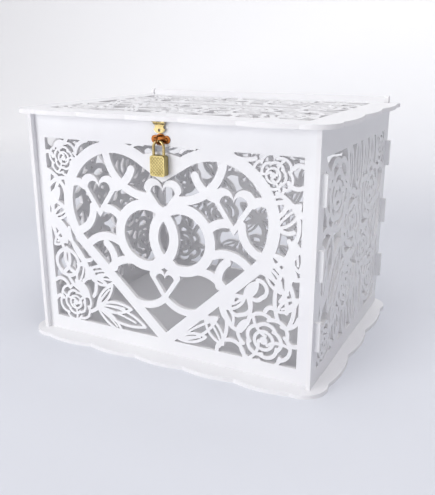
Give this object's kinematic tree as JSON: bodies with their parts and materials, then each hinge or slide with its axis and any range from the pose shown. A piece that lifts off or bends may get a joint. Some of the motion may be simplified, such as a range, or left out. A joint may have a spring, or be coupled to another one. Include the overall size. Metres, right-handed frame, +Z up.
{
  "type": "wedding card box",
  "caption": "White laser-cut card box with a rose lattice, a heart front, a hinged scalloped lid with a card slot, a gilt hasp and a small padlock.",
  "frame": {"origin": "centre of the base plate's underside", "axes": "+X to the right along the front, +Z up, the front faces -Y"},
  "size_m": [0.33, 0.264, 0.2435],
  "materials": {
    "white_board": "satin white foam board",
    "gilt_hasp": "bright gilt",
    "copper_gilt": "bright reddish gilt",
    "gilt_lock": "cross-hatched pale gilt",
    "gilt_wire": "polished gilt wire",
    "steel": "plain"
  },
  "bodies": {
    "box": {"base_plate": "white_board", "front_panel": "white_board", "back_panel": "white_board", "left_panel": "white_board", "right_panel": "white_board", "staple_plate": "copper_gilt", "staple_loop": "copper_gilt", "staple_screws": "copper_gilt"},
    "lid": {"lid_plate": "white_board", "hinge_bar": "white_board", "hasp_leaf": "gilt_hasp", "hasp_pin": "steel", "hasp_screws": "gilt_hasp"},
    "strap": {"hasp_strap": "gilt_hasp"},
    "shackle": {"lock_shackle": "gilt_wire"},
    "lock": {"lock_case": "gilt_lock", "lock_front_plate": "gilt_lock", "lock_back_plate": "gilt_lock", "lock_rivets": "gilt_lock"},
    "plug": {"lock_plug": "gilt_lock"},
    "bolt": {"lock_bolt": "steel"}
  },
  "joints": [
    {"name": "lid_hinge", "type": "hinge", "parent": "box", "child": "lid", "pos_m": [0, 0.11, 0.2393], "axis": [-1, 0, 0], "range_deg": [0, 100]},
    {"name": "hasp_swing", "type": "hinge", "parent": "lid", "child": "strap", "pos_m": [0, -0.1142, 0.2293], "axis": [-1, 0, 0], "range_deg": [0, 75]},
    {"name": "padlock_swing", "type": "hinge", "parent": "box", "child": "shackle", "pos_m": [0, -0.1164, 0.21317], "axis": [-1, 0, 0], "range_deg": [0, 60]},
    {"name": "shackle_pop", "type": "slide", "parent": "shackle", "child": "lock", "axis": [0, 0, -1], "range_m": [0, 0.006]},
    {"name": "plug_turn", "type": "hinge", "parent": "lock", "child": "plug", "pos_m": [0, -0.1164, 0.195], "axis": [0, 0, 1], "range_deg": [0, 90]},
    {"name": "bolt_slide", "type": "slide", "parent": "lock", "child": "bolt", "axis": [-1, 0, 0], "range_m": [0, 0.002]}
  ],
  "couplings": [
    {"joint": "plug_turn", "follows": "shackle_pop", "rad_per_m": 261.8},
    {"joint": "bolt_slide", "follows": "shackle_pop", "ratio": 0.33333}
  ]
}
